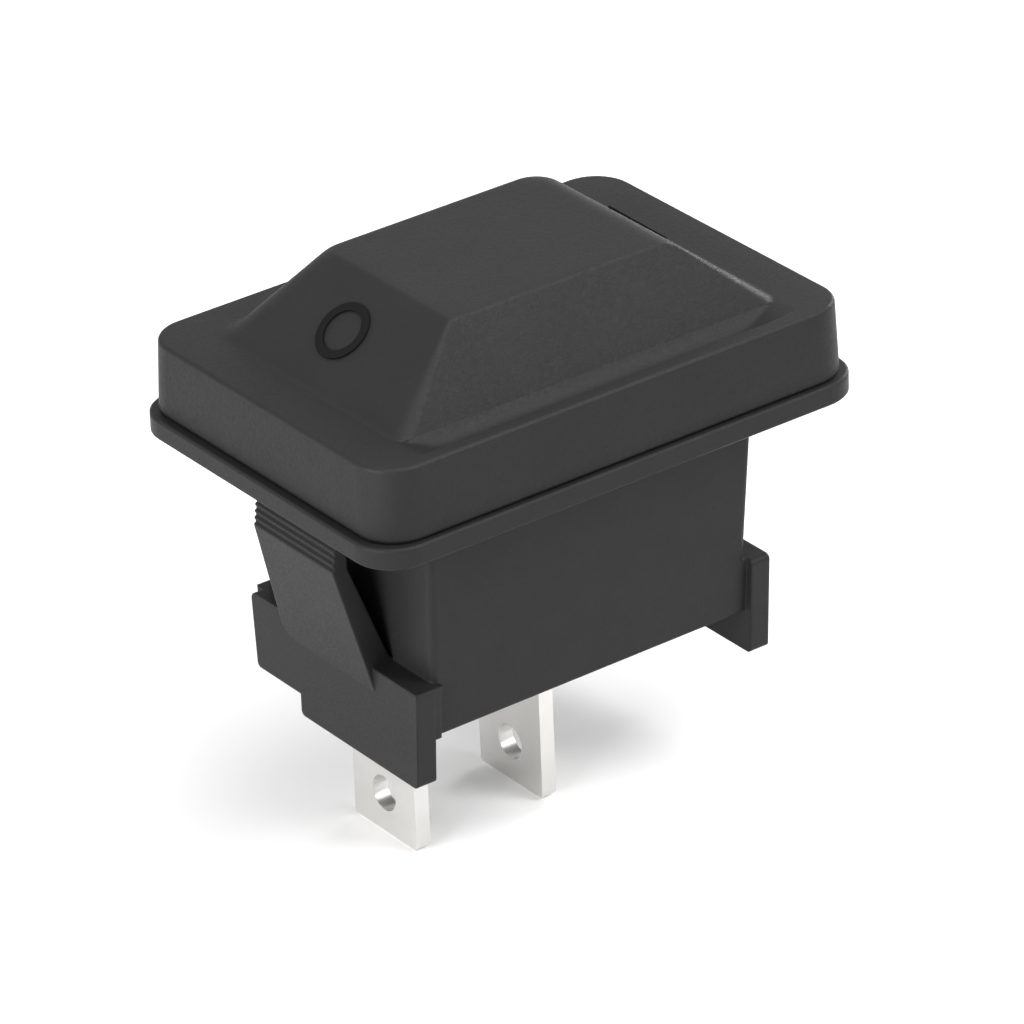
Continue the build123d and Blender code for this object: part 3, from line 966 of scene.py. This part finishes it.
@dataclass(frozen=True)
class Studio:
    """Pale floor, white surroundings and soft lamps."""

    LAMPS = (SoftLight("lamp_top", (60, -120, 520), 480, 3.2),
             SoftLight("lamp_left", (-420, -60, 110), 300, 2.9),
             SoftLight("lamp_right", (210, -330, 300), 200, 1.4),
             SoftLight("lamp_edge", (380, 120, 120), 130, 0.8))

    floor_gap: float = 0.02
    floor_half: float = 1500.0
    floor_colour: float = 0.9
    floor_roughness: float = 0.6
    floor_specular: float = 0.2
    world_strength: float = 0.27
    backdrop_share: float = 0.15

    @staticmethod
    def _seen(tree: bpy.types.NodeTree) -> bpy.types.NodeSocket:
        """A value of 1 for what the camera sees directly, in metal or through glass.

        Args:
            tree: The node tree that the value's nodes go into.

        Returns:
            The value's output socket.
        """
        rays = tree.nodes.new("ShaderNodeLightPath")
        total = rays.outputs["Is Camera Ray"]
        for kind in ("Is Glossy Ray", "Is Transmission Ray"):
            either = tree.nodes.new("ShaderNodeMath")
            either.operation, either.use_clamp = "ADD", True
            tree.links.new(total, either.inputs[0])
            tree.links.new(rays.outputs[kind], either.inputs[1])
            total = either.outputs[0]
        return total

    def floor(self) -> None:
        """Lay the floor under the tabs' ends, white to the camera but for the switch's shadow."""
        mesh = bmesh.new()
        bmesh.ops.create_grid(mesh, x_segments=1, y_segments=1, size=self.floor_half)
        low = CAD_BOUNDS[0].z / MM - self.floor_gap
        bmesh.ops.translate(mesh, vec=(0, 0, low), verts=mesh.verts)
        piece = as_object(mesh, "floor")
        shader = Shader("floor_paper")
        paper = shader.surface
        paper.inputs["Base Color"].default_value = (*[self.floor_colour] * 3, 1)
        paper.inputs["Roughness"].default_value = self.floor_roughness
        paper.inputs["Specular IOR Level"].default_value = self.floor_specular
        glow = shader.add("Emission", {"Color": (1, 1, 1, 1), "Strength": 1.0})
        share = shader.add("Math", operation="MULTIPLY")
        share.inputs[1].default_value = self.backdrop_share
        mix = shader.add("MixShader")
        shader.join(self._seen(shader.tree), share.inputs[0])
        shader.join(share.outputs[0], mix.inputs["Fac"])
        shader.join(paper.outputs[0], mix.inputs[1])
        shader.join(glow.outputs[0], mix.inputs[2])
        shader.join(mix.outputs[0], shader.output.inputs["Surface"])
        piece.data.materials.append(shader.material)

    def world(self) -> None:
        """Light the switch evenly from all round, and show white to the camera."""
        world = bpy.data.worlds.new("surroundings")
        world.use_nodes = True
        nodes, links = world.node_tree.nodes, world.node_tree.links
        light = nodes["Background"]
        light.inputs["Color"].default_value = (1, 1, 1, 1)
        light.inputs["Strength"].default_value = self.world_strength
        seen = nodes.new("ShaderNodeBackground")
        seen.inputs["Strength"].default_value = 1.0
        mix = nodes.new("ShaderNodeMixShader")
        links.new(self._seen(world.node_tree), mix.inputs["Fac"])
        links.new(light.outputs[0], mix.inputs[1])
        links.new(seen.outputs[0], mix.inputs[2])
        links.new(mix.outputs[0], nodes["World Output"].inputs["Surface"])
        bpy.context.scene.world = world

    def build(self) -> None:
        """Set up floor, surroundings and lamps."""
        self.floor()
        self.world()
        for lamp in self.LAMPS:
            lamp.build()
        bpy.context.scene.view_settings.view_transform = "Standard"


def dress_solids() -> None:
    """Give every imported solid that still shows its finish."""
    plastic = MouldedPlasticFinish("housing_black").material()
    rocker = MouldedPlasticFinish("rocker_black", (0.02, 0.02, 0.021), (0.027, 0.027, 0.028), 0.42).material()
    white = MouldedPlasticFinish("plunger_white", (0.70, 0.69, 0.63), (0.78, 0.77, 0.72), 0.35).material()
    steel = StripMetalFinish("spring_wire", (0.62, 0.62, 0.63), (0.52, 0.52, 0.53), 0.25).material()
    tin = StripMetalFinish("tin_plate", (0.70, 0.69, 0.67), (0.63, 0.62, 0.60), 0.40, RollDirection.ALONG_Z,
                           line_depth=0.0008).material()
    copper = StripMetalFinish("lever_strip", (0.72, 0.42, 0.26), (0.60, 0.33, 0.20), 0.32,
                              RollDirection.ALONG_X).material()
    silver = StripMetalFinish("rivet_silver", (0.84, 0.83, 0.80), (0.70, 0.69, 0.66), 0.34).material()
    CoilSpring().build(steel)
    finishes = {"housing": plastic, "rocker": rocker, "plunger": white, "contact_lever": copper,
                "moving_contact": silver, "fixed_contact": silver, "line_terminal": tin,
                "common_terminal": tin}
    for node, finish in finishes.items():
        CarriedNode(node).dress(finish)


def main() -> None:
    """Build the studio and the switch."""
    logging.basicConfig(level=logging.INFO, format="%(name)s: %(message)s")
    PhotoCamera().build()
    Studio().build()
    rubber = RubberFinish("hood_rubber").material()
    # The O and I get a darker copy of the rubber: painted shade standing in for the dark reflection in their
    # polished tops.
    mark = RubberFinish("hood_mark_painted_shade", (0.003, 0.003, 0.003), (0.004, 0.004, 0.004), 0.7,
                        specular=0.1).material()
    RubberHood().build(rubber, mark)
    dress_solids()


if __name__ == "__main__":
    main()
